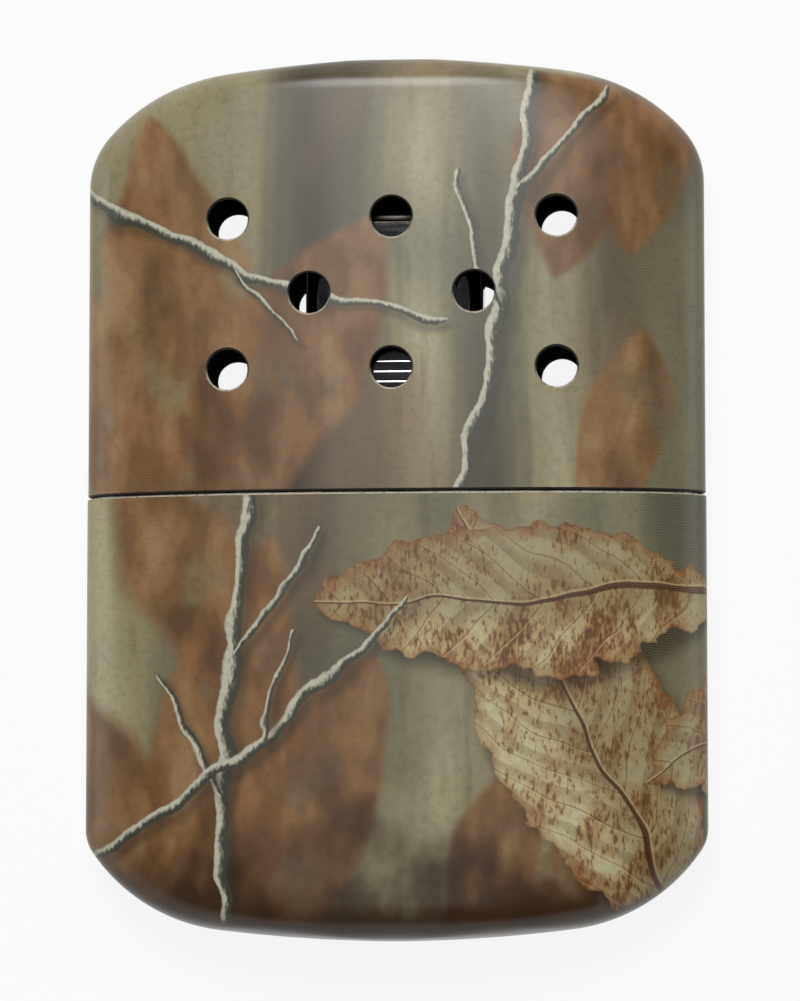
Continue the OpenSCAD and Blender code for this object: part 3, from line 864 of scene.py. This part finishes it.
insert_loop = whole_loop(half_columns(step=1.0 * MM, last=31 * MM, edge_count=12))
insert_profile = [(sheet, -skirt_length + i * (skirt_length - skirt_shoulder) / 4) for i in range(5)]
insert_profile += [(collar_inset, skirt_shoulder + i * (collar_length - collar_round - skirt_shoulder) / 5)
                   for i in range(6)]
insert_profile += [(collar_inset + collar_round * (1 - math.cos(a)),
                    collar_length - collar_round * (1 - math.sin(a)))
                   for a in (math.radians(degrees) for degrees in range(15, 91, 15))]
insert_rings = [oval_ring(insert_loop, half_w - inset, half_d - inset, rise)
                for inset, rise in insert_profile]
deck_edge = insert_rings[-1]


def on_oblong(x, z, w, d, r):
    """Where a line from an oblong's middle towards x, z leaves it."""
    scale = min(w / 2 / max(abs(x), 1e-9), d / 2 / max(abs(z), 1e-9))
    x, z = x * scale, z * scale
    arc_x, arc_z = max(abs(x) - (w / 2 - r), 0), max(abs(z) - (d / 2 - r), 0)
    if arc_x > 0 and arc_z > 0:
        reach = r / math.hypot(arc_x, arc_z)
        x = math.copysign(w / 2 - r + arc_x * reach, x)
        z = math.copysign(d / 2 - r + arc_z * reach, z)
    return x, z


neck_mouth = []
for x, y, z in deck_edge:
    mouth_x, mouth_z = on_oblong(x, z - mid_z, opening_w, opening_d, neck_r)
    neck_mouth.append((mouth_x, y, mid_z + mouth_z))
for share in (0.35, 0.7, 1.0):
    insert_rings.append([tuple(a + (b - a) * share for a, b in zip(edge, mouth))
                         for edge, mouth in zip(deck_edge, neck_mouth)])
tank_insert = skin("tank_insert", insert_rings)
give_sheet(tank_insert, collar_sheet, rim_round=0.10 * MM)
tank_insert.data.materials.append(brushed_metal(
    "plated_sheet", dark=srgb(176, 174, 168), light=srgb(206, 204, 198), rough=0.34, smooth=0.20,
    per_mm=(0.12, 3.5, 0.12)))
tank_insert.data.materials.append(bare_inside)
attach(tank_insert, "case")
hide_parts("tank_collar")

# ---- Filler neck --------------------------------------------------------------------------------
# An oblong tube soldered into the deck, with a tab at each side underneath, that the fuel is poured
# through and the burner plugs onto. It is drawn from plated brass.
filler_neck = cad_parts["filler_neck"]


def soften_edges(node, width):
    """Rounds a carried-over solid's sharp edges a little."""
    weld = node.modifiers.new("weld", "WELD")
    weld.merge_threshold = 0.001 * MM
    edge = node.modifiers.new("soft_edges", "BEVEL")
    edge.width = width
    edge.segments = 2
    edge.limit_method = "ANGLE"
    edge.angle_limit = math.radians(50)
    edge.harden_normals = True


soften_edges(filler_neck, width=0.10 * MM)
filler_neck.data.materials.clear()
filler_neck.data.materials.append(brushed_metal(
    "plated_brass", dark=srgb(172, 160, 132), light=srgb(200, 190, 164), rough=0.36, smooth=0.22,
    per_mm=(0.10, 2.8, 0.10)))

# ---- Catalyst pad -------------------------------------------------------------------------------
# The pad of glass fibre that carries the catalyst, where the fuel's vapour glows without flame. It
# is a thick felt block held between the two screens.
pad_low, pad_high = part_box("catalyst_pad")
pad_w, pad_t = pad_high.x - pad_low.x, pad_high.z - pad_low.z
pad_r = 0.8 * MM
pad_foot, pad_top = pad_low.y - seam_y, pad_high.y - seam_y
pad_steps = 16
pad_cells = (4, 18)  # cells of its rings at a corner and along a side
pad_rings = []
for i in range(pad_steps + 1):
    angle = math.pi * i / pad_steps
    tip = pad_r * (1 - math.sin(angle)) if i in (0, pad_steps) else 0
    rise = pad_foot + (pad_top - pad_foot) * i / pad_steps
    pad_rings.append(oblong(pad_w - 2 * tip, pad_t - 2 * tip, pad_r, rise, *pad_cells))
shrunk = [oblong(pad_w * s, pad_t * s, pad_r * s, pad_foot, *pad_cells) for s in (0.3, 0.65)]
pad_rings = shrunk + pad_rings + [
    [(x, y + pad_top - pad_foot, z) for x, y, z in ring] for ring in reversed(shrunk)]
catalyst = skin("catalyst", pad_rings, caps=(0, -1))
tuft(catalyst, deepest=0.35 * MM, per_mm=0.8)
catalyst.data.materials.append(fibre_finish(
    "glass_fibre_felt", light=srgb(150, 146, 140), dark=srgb(70, 67, 64), per_mm=2.4,
    stretch=(2.0, 0.5, 1.0)))
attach(catalyst, "burner")
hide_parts("catalyst_pad")

# ---- Burner screens -----------------------------------------------------------------------------
# Two rectangles of plain-woven heat-proof wire, one behind each window, that keep the pad in and
# let the warmth out. Every wire goes over one neighbour and under the next.
wires_across, wires_along = 11, 9
wire_r = 0.1 * MM
bends_per_gap = 4
wire_sides = 6
screen_wire = brushed_metal(
    "screen_wire", dark=srgb(92, 88, 84), light=srgb(136, 130, 124), rough=0.45, smooth=0.30,
    per_mm=(2.0, 2.0, 2.0), tint=srgb(96, 78, 66))


def woven_screen(name, node):
    """A plain weave that fills the screen's solid, each wire a bent round rod of its own."""
    low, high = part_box(node)
    middle = (low + high) / 2
    span_x, span_y = high.x - low.x - 2 * wire_r, high.y - low.y - 2 * wire_r
    pitch_x, pitch_y = span_x / (wires_across - 1), span_y / (wires_along - 1)
    weave = (high.z - low.z) / 2 - wire_r
    mesh = bmesh.new()
    routes = [(i, Vector((middle.x - span_x / 2 + i * pitch_x, middle.y, middle.z)), Vector((0, 1, 0)),
               span_y, wires_along - 1, 1) for i in range(wires_across)]
    routes += [(i, Vector((middle.x, middle.y - span_y / 2 + i * pitch_y, middle.z)), Vector((1, 0, 0)),
                span_x, wires_across - 1, -1) for i in range(wires_along)]
    for i, centre, along, span, gaps, over in routes:
        count = gaps * bends_per_gap
        rings = []
        for k in range(count + 1):
            share = k / count
            lift = weave * over * math.cos(math.pi * (share * gaps + i))
            slope = -weave * over * math.pi * gaps / span * math.sin(math.pi * (share * gaps + i))
            side = Vector((0, 0, 1)).cross(along)
            up = (Vector((0, 0, 1)) - along * slope).normalized()
            end = wire_r if k == count else -wire_r if k == 0 else 0
            point = centre + along * (span * (share - 0.5) + end) + Vector((0, 0, lift))
            rings.append([mesh.verts.new(point + (side * math.cos(a) + up * math.sin(a)) * wire_r)
                          for a in (math.tau * s / wire_sides for s in range(wire_sides))])
        for lower, upper in zip(rings, rings[1:]):
            for s in range(wire_sides):
                t = (s + 1) % wire_sides
                mesh.faces.new((lower[s], lower[t], upper[t], upper[s]))
        mesh.faces.new(rings[0])
        mesh.faces.new(rings[-1])
    screen = finished_mesh(name, mesh)
    screen.data.materials.append(screen_wire)
    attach(screen, "burner")
    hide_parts(node)


woven_screen("woven_screen_front", "screen_front")
woven_screen("woven_screen_back", "screen_back")

# ---- Burner shells ------------------------------------------------------------------------------
# The housing is two pressed halves, front and back, that meet down the sides. Each has a window
# with round corners and a low bead pressed round it, and is bright chrome outside.
burner_w, _, shell_foot, shell_top = node_size("burner_shell_front")
burner_half_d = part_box("burner_shell_front")[1].z - mid_z
burner_r = 2.6 * MM
burner_sheet = 0.4 * MM
window_w, window_l, window_r = 12.4 * MM, 10 * MM, 1.4 * MM
window_foot = 4.6 * MM  # from the shell's foot to the window
window_rise = shell_foot + window_foot + window_l / 2
frame_room = 0.75 * MM  # from the window's edge to the last line of the wall's own grid
frame_cells_x, frame_cells_y = 18, 14
chrome = brushed_metal(
    "burner_chrome", dark=srgb(128, 128, 131), light=srgb(168, 168, 171), rough=0.08, smooth=0.04,
    per_mm=(0.15, 2.0, 0.15), tint=srgb(146, 134, 118))


def burner_wall(name, node, towards):
    """One half of the housing: a bent wall, in quads, with a beaded window in its face."""
    flat = window_w / 2 + frame_room
    arc_x = burner_w / 2 - burner_r
    side_steps, corner_steps = 3, 8
    first = side_steps + corner_steps + 1
    last = first + frame_cells_x
    path = [(burner_w / 2, (burner_half_d - burner_r) * i / side_steps) for i in range(side_steps)]
    path += [(arc_x + burner_r * math.cos(a), burner_half_d - burner_r + burner_r * math.sin(a))
             for a in (math.radians(90 * i / corner_steps) for i in range(corner_steps + 1))]
    path += [(-flat + 2 * flat * (frame_cells_x - i) / frame_cells_x, burner_half_d)
             for i in range(frame_cells_x + 1)]
    path += [(-x, z) for x, z in reversed(path[:first])]
    low, high = window_rise - window_l / 2 - frame_room, window_rise + window_l / 2 + frame_room
    rises = [shell_foot + (low - shell_foot) * i / 4 for i in range(4)]
    first_row = len(rises)
    rises += [low + (high - low) * i / frame_cells_y for i in range(frame_cells_y + 1)]
    rises += [high + (shell_top - high) * i / 3 for i in range(1, 4)]
    top_row = first_row + frame_cells_y
    mesh = bmesh.new()

    def wall_vert(x, rise, z):
        return mesh.verts.new((x, seam_y + rise, mid_z + towards * z))

    rows = [[None if first < i < last and first_row < j < top_row else wall_vert(x, rise, z)
             for i, (x, z) in enumerate(path)] for j, rise in enumerate(rises)]
    for j in range(len(rows) - 1):
        for i in range(len(path) - 1):
            if not (first <= i < last and first_row <= j < top_row):
                mesh.faces.new((rows[j][i], rows[j][i + 1], rows[j + 1][i + 1], rows[j + 1][i]))
    outer = ([rows[first_row][i] for i in range(first, last)]
             + [rows[j][last] for j in range(first_row, top_row)]
             + [rows[top_row][i] for i in range(last, first, -1)]
             + [rows[j][first] for j in range(top_row, first_row, -1)])
    places = [(vert.co.x, vert.co.y - seam_y - window_rise) for vert in outer]
    edges = [on_oblong(x * window_w, y * window_w, window_w, window_l, window_r) for x, y in places]
    for share, lift in ((0.35, 0.0), (0.50, 0.10), (0.65, 0.16), (0.80, 0.10), (1.0, 0.0)):
        ring = [wall_vert(x + (u - x) * share, window_rise + y + (v - y) * share, burner_half_d + lift * MM)
                for (x, y), (u, v) in zip(places, edges)]
        for i in range(len(ring)):
            k = (i + 1) % len(ring)
            mesh.faces.new((outer[i], outer[k], ring[k], ring[i]))
        outer = ring
    wall = finished_mesh(name, mesh)
    if wall.data.polygons[0].normal.x < 0:
        wall.data.flip_normals()
    give_sheet(wall, burner_sheet, rim_round=0.08 * MM)
    wall.data.materials.append(chrome)
    wall.data.materials.append(bare_inside)
    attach(wall, "burner")
    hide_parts(node)


burner_wall("burner_front", "burner_shell_front", 1)
burner_wall("burner_back", "burner_shell_back", -1)

# ---- Burner top ---------------------------------------------------------------------------------
# The lid that closes the housing, pressed from the same sheet with a rolled edge and a raised panel.
# The housing's halves are crimped under it. Its chrome is dark and dull, with browner patches.
top_w, top_d, top_foot, _ = node_size("burner_top")
# The lid's profile in mm: how far in from its side, and how high above its foot
rolled_edge = [(2.0, 0.0), (0.05, 0.0), (0.0, 0.10), (0.0, 0.20), (0.06, 0.32), (0.22, 0.40), (0.55, 0.42)]
raised_panel = [(0.80, 0.46), (0.90, 0.60), (0.92, 0.95), (0.98, 1.15), (1.12, 1.30), (1.35, 1.38),
                (1.7, 1.40), (2.4, 1.40), (3.2, 1.40)]
least_corner_r = 0.2 * MM
lid_rings = []
for inset, lift in rolled_edge + raised_panel:
    inset *= MM
    corner = max(burner_r - inset, least_corner_r)
    lid_rings.append(oblong(top_w - 2 * inset, top_d - 2 * inset, corner, top_foot + lift * MM))
burner_lid = skin("burner_lid", lid_rings, caps=(0, -1))
burner_lid.data.materials.append(brushed_metal(
    "dark_dull_chrome", dark=srgb(42, 39, 37), light=srgb(66, 61, 57), rough=0.36, smooth=0.24,
    per_mm=(0.15, 2.0, 0.15), tint=srgb(48, 38, 31)))
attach(burner_lid, "burner")
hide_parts("burner_top")

# ---- Burner band --------------------------------------------------------------------------------
# The chromed band that wraps the burner's foot and grips the neck. Three fine beads are rolled round
# it for stiffness and its lips are turned in a little.
band_w, band_d, band_foot, band_top = node_size("burner_band")
band_r = burner_r + burner_sheet
# The band's profile in mm: how far out, and how high above its foot, with a flat point beside each bead
band_profile = [(-0.06, 0.0), (-0.015, 0.04), (0.0, 0.10), (0.0, 0.20)]
bead, bead_half = 0.06, 0.11
for bead_middle in (0.95, 3.6, 4.7):
    band_profile += [(max(0.0, bead * math.sin(math.pi * i / 6)), bead_middle + bead_half * (i / 3 - 1))
                     for i in range(-1, 8)]
band_length = (band_top - band_foot) / MM
band_profile += [(out, band_length - rise) for out, rise in reversed(band_profile[:4])]
band_rings = [oblong(band_w + 2 * out * MM, band_d + 2 * out * MM, band_r + out * MM, band_foot + rise * MM)
              for out, rise in band_profile]
burner_band = skin("chromed_band", band_rings)
give_sheet(burner_band, burner_sheet, rim_round=0.08 * MM)
burner_band.data.materials.append(chrome)
burner_band.data.materials.append(bare_inside)
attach(burner_band, "burner")
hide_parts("burner_band")

# ---- Upper cover --------------------------------------------------------------------------------
# The lid: a second drawn cup, a hair narrower than the case, pierced front and back with rows of
# three, two and three vent holes with rounded edges. It slides over the tank's collar.
cover_length = cad_high.y - seam_y + cover_step
cover_shoulder_r = 8.8 * MM
lip_turn = 0.08 * MM  # how far the turned lip stops short of the cut rim
seam_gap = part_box("upper_cover")[0][1] - seam_y + lip_turn
vent_r = 2.22 * MM
vent_pitch_x = 18.04 * MM
vent_pitch_y = 8.28 * MM
vent_rise = 21.9 * MM
steps_per_column = 18  # grid steps between the vents of neighbouring rows
steps_per_row = 16
flat_steps = 62  # grid steps of even width across half a face
rows_past_middle = 24
column_step = vent_pitch_x / 2 / steps_per_column
row_step = vent_pitch_y / steps_per_row
middle_row = int((vent_rise - seam_gap) / row_step)
cover_columns = half_columns(column_step, last=flat_steps * column_step, edge_count=12)
cover_rows = [seam_gap]
cover_rows += [vent_rise + (j - middle_row) * row_step for j in range(1, middle_row + rows_past_middle)]
cover_vents = [(col * steps_per_column, middle_row + row * steps_per_row)
               for row in (-1, 0, 1) for col in ((-1, 1) if row == 0 else (-2, 0, 2))]
cover_skin = drawn_shell("cover_skin", cover_length, cover_shoulder_r, cover_step, 1, cover_columns,
                         cover_rows, cover_vents, vent_r)
cover_skin.data.materials.append(printed_finish(
    "woodland_print_cover", 7.0,
    [(-22, -6, 64, 42, 8.0, -3, 0.9), (-22, -6, 92, 48, 8.5, 3, 0.9), (-24, -6, 122, 34, 7.0, -3, 1.2),
     (26, 56, -112, 34, 7.0, 4, 0.8), (26, 56, -84, 30, 6.5, -3, 1.1), (22, -6, 72, 24, 5.0, 2, 0.6),
     (66, -4, 80, 44, 8, 3, 1.0), (66, -4, 108, 40, 7.5, -4, 1.0), (98, 50, -104, 36, 8, 2, 1.4)],
    [(47, -2, 66, 40, 7.5, 3)],
    with_twigs((6, -5, 74, 62, 0.85, 7), [(0.42, 36, 16), (0.62, -38, 15)])
    + with_twigs((-38, 36, -34, 46, 0.66, 10), [(0.5, -34, 11)])
    + with_twigs((80, -5, 88, 60, 0.8, 6), [(0.36, -36, 15), (0.6, 36, 15)])))
cover_skin.data.materials.append(bare_inside)
cover_skin.data.materials.append(rolled_rim)
give_sheet(cover_skin, sheet, rim_round, rim_slot=2)
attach(cover_skin, "cover")
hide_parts("upper_cover")
